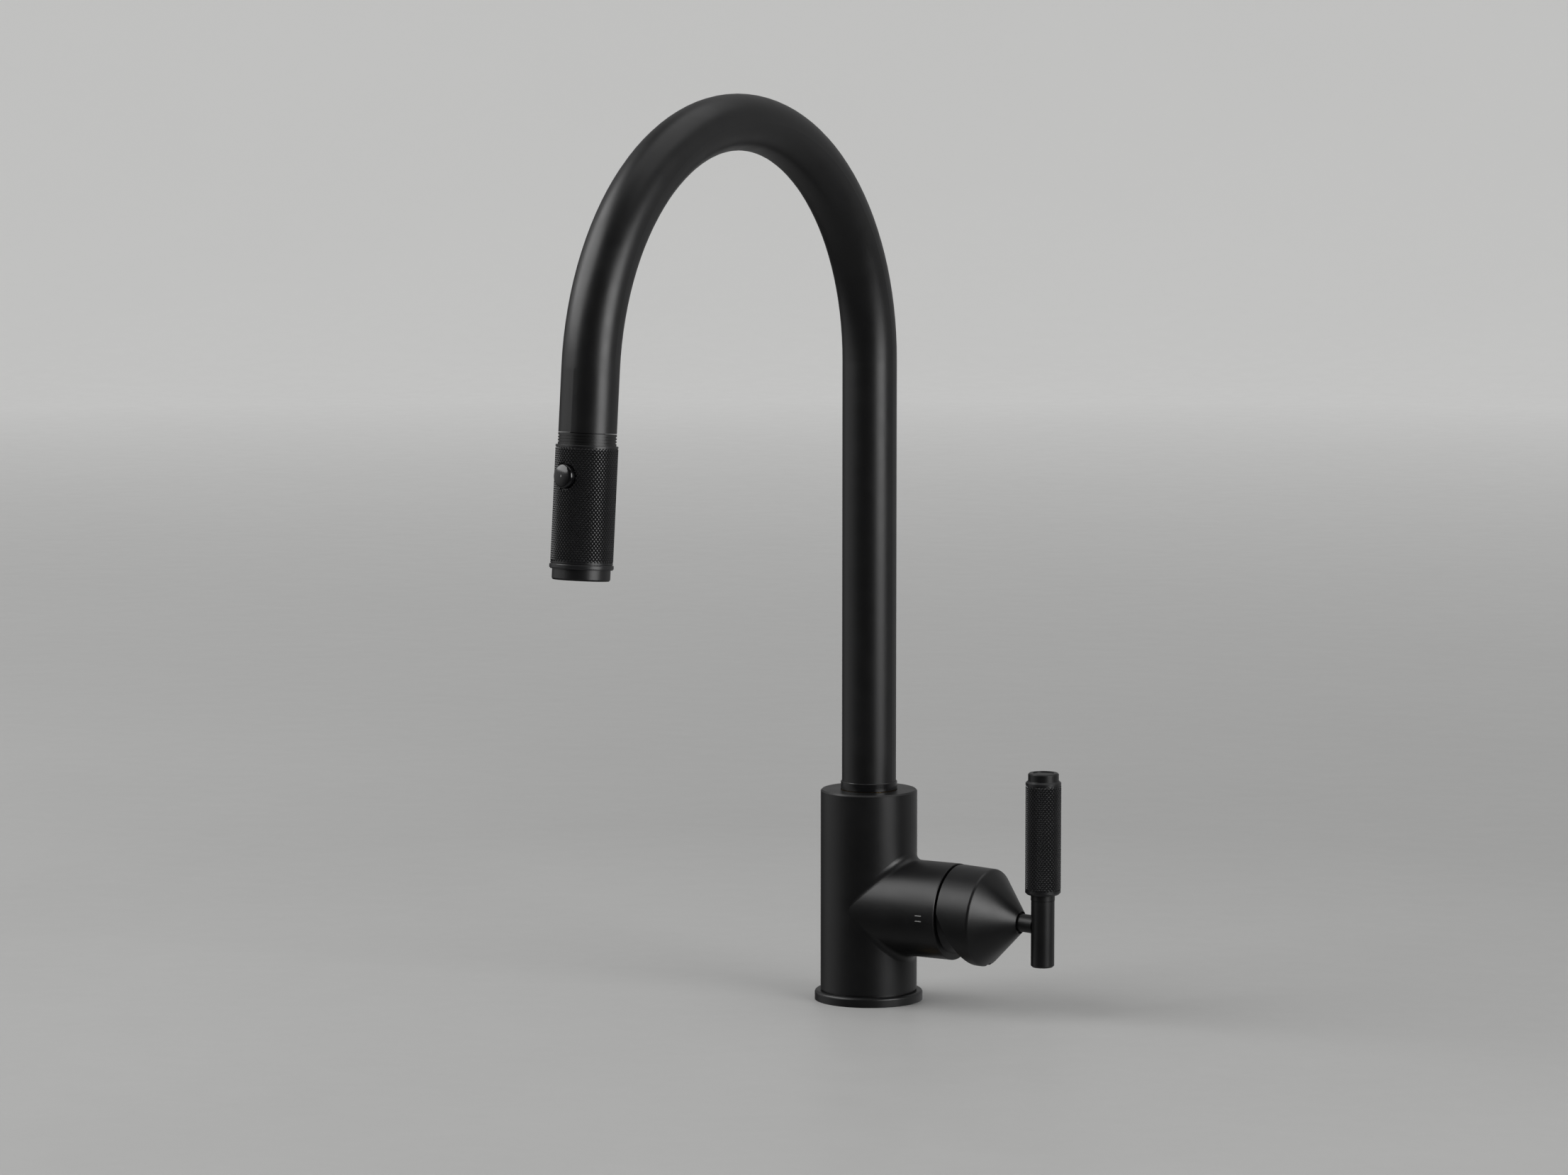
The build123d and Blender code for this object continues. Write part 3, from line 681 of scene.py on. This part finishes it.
def room():
    """What the tap sees round it: a dim room, with soft glows from the sides given in GLOWS."""
    world = bpy.data.worlds.new("room")
    bpy.context.scene.world = world
    world.use_nodes = True
    tree = world.node_tree
    direction = tree.nodes.new("ShaderNodeTexCoord").outputs["Generated"]
    total = None
    for toward, wide, core, strength in GLOWS:
        facing = tree.nodes.new("ShaderNodeVectorMath")
        facing.operation = "DOT_PRODUCT"
        facing.inputs[1].default_value = Vector(toward).normalized()
        tree.links.new(direction, facing.inputs[0])
        glow = tree.nodes.new("ShaderNodeMapRange")
        glow.interpolation_type = "SMOOTHSTEP"
        glow.inputs["From Min"].default_value = cos(radians(wide))
        glow.inputs["From Max"].default_value = cos(radians(core))
        glow.inputs["To Max"].default_value = strength
        tree.links.new(facing.outputs["Value"], glow.inputs["Value"])
        add = tree.nodes.new("ShaderNodeMath")
        add.inputs[1].default_value = ROOM_LIGHT
        if total:
            tree.links.new(total, add.inputs[1])
        tree.links.new(glow.outputs["Result"], add.inputs[0])
        total = add.outputs["Value"]
    tree.links.new(total, tree.nodes["Background"].inputs["Strength"])
    tree.nodes["Background"].inputs["Color"].default_value = (1, 1, 1, 1)
    bpy.context.scene.view_settings.view_transform = "Standard"


def camera():
    lens = bpy.data.cameras.new("camera")
    lens.lens = CAMERA_LENS
    lens.sensor_width = 36
    lens.sensor_fit = "HORIZONTAL"
    lens.clip_start, lens.clip_end = 0.05, 50
    holder = bpy.data.objects.new("camera", lens)
    holder.location = CAMERA_AT
    holder.rotation_euler = (radians(90 + CAMERA_PITCH), 0, radians(CAMERA_AZIMUTH))
    bpy.context.scene.collection.objects.link(holder)
    bpy.context.scene.camera = holder


backdrop()
room()
softbox("key", (1.78, -0.35, 0.60), (0, -0.05, 0.30), (1.2, 1.1), 7.5, spread=100)
softbox("window", (-1.35, -0.95, 1.35), (0, -0.05, 0.2), (1.9, 1.5), 27)
softbox("ceiling", (0.3, 0.6, 2.6), (0.0, 0.6, 0), (2.4, 2.4), 14)
camera()
